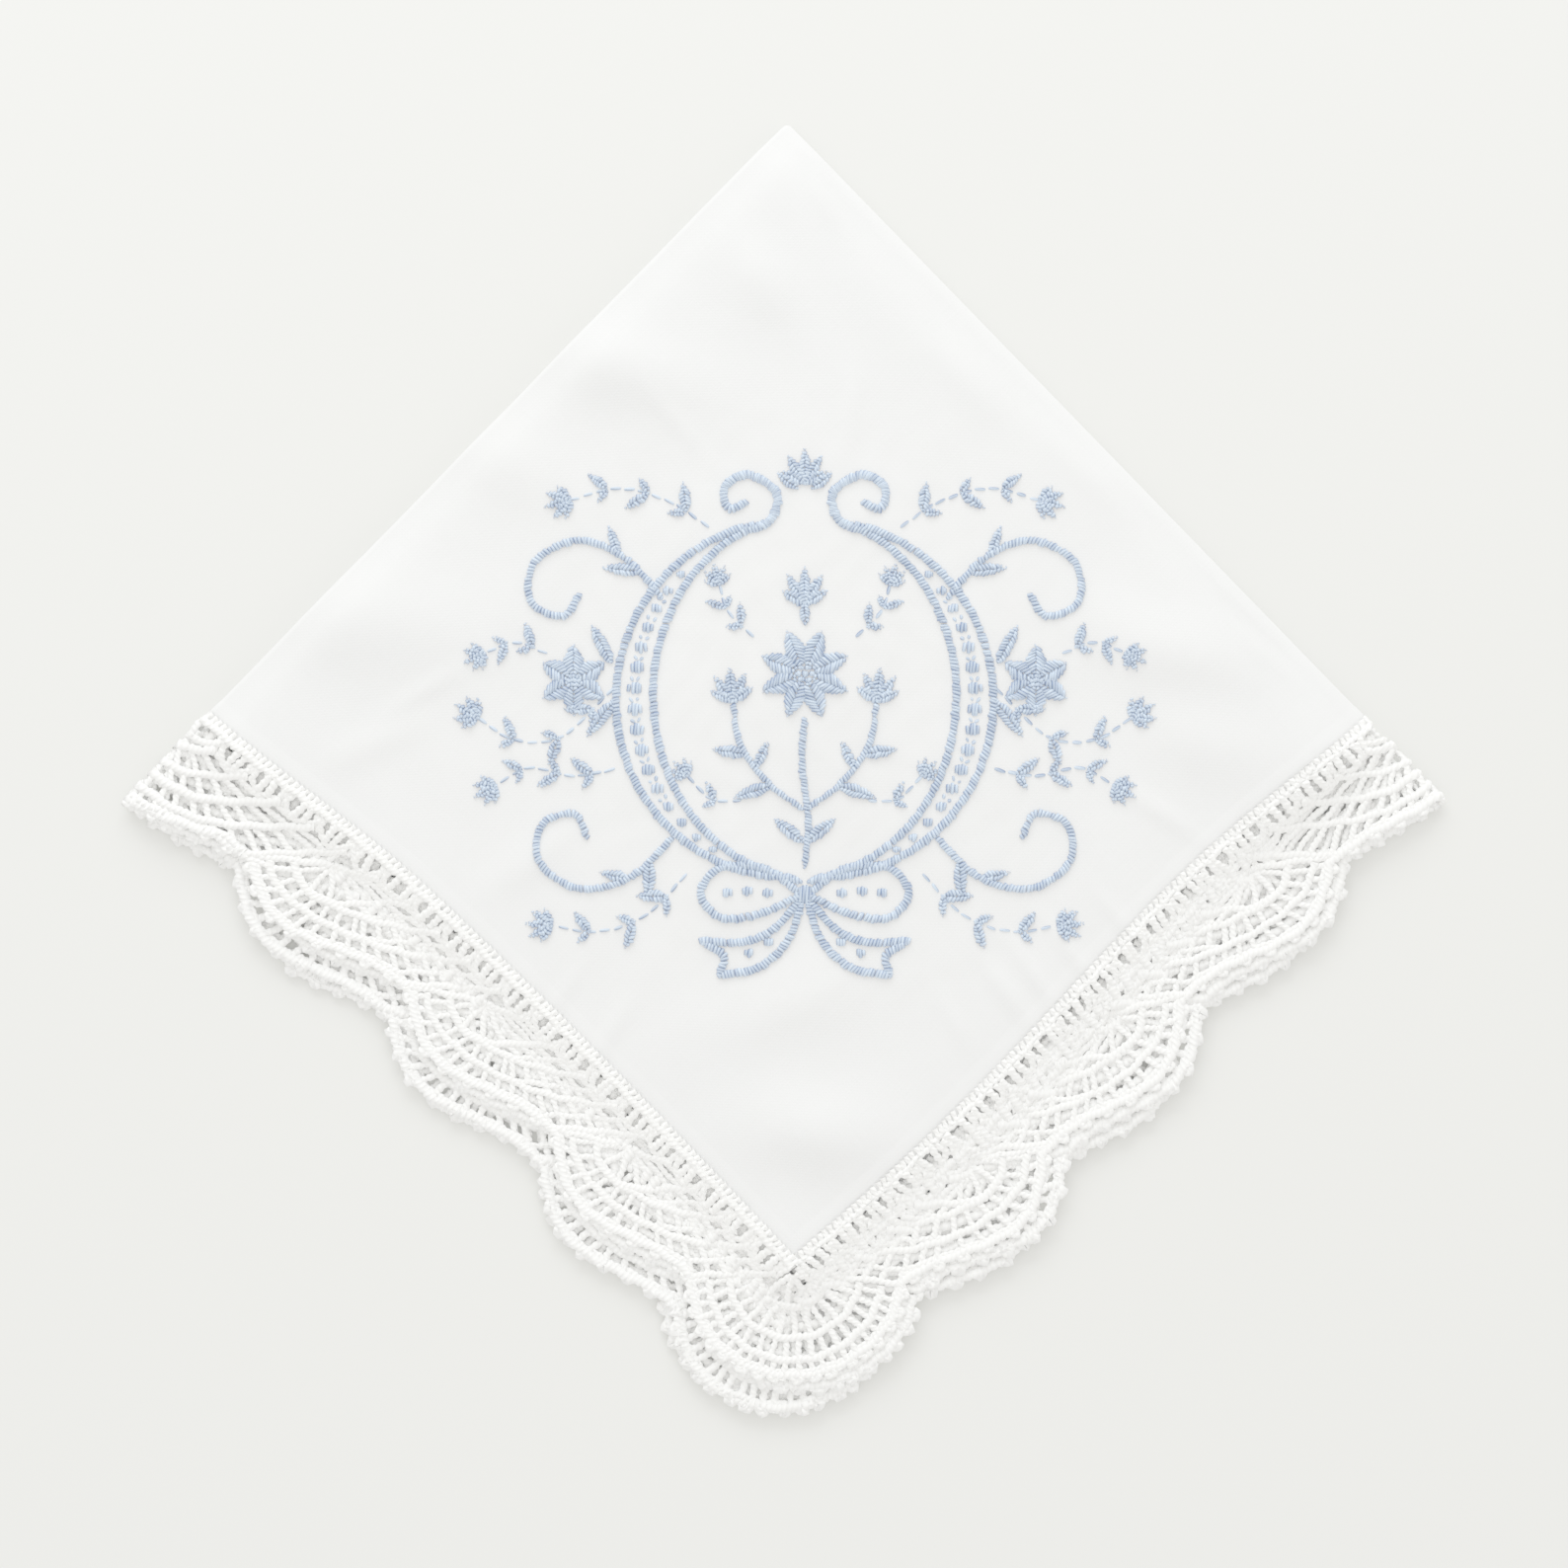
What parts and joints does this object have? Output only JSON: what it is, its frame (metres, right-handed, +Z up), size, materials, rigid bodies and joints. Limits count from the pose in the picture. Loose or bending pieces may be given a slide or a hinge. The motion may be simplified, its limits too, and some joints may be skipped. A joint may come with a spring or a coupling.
{
  "type": "folded lace-edged handkerchief",
  "caption": "White cotton lawn handkerchief with a crocheted lace edging and pale blue embroidery, folded twice into a quarter.",
  "frame": {"origin": "centre of the bounding box at the bottom, on the surface that the folded handkerchief lies on", "axes": "+Z up off the surface, +Y towards the folded corner, +X towards the corner at the right-hand end of the second fold"},
  "size_m": [0.1978, 0.1945, 0.0066],
  "materials": {
    "white_lawn": "matt fine plain weave",
    "white_crochet_cotton": "matt twisted cotton yarn"
  },
  "bodies": {
    "root": {"cloth": "white_lawn", "lace_edging": "white_crochet_cotton"}
  },
  "joints": []
}
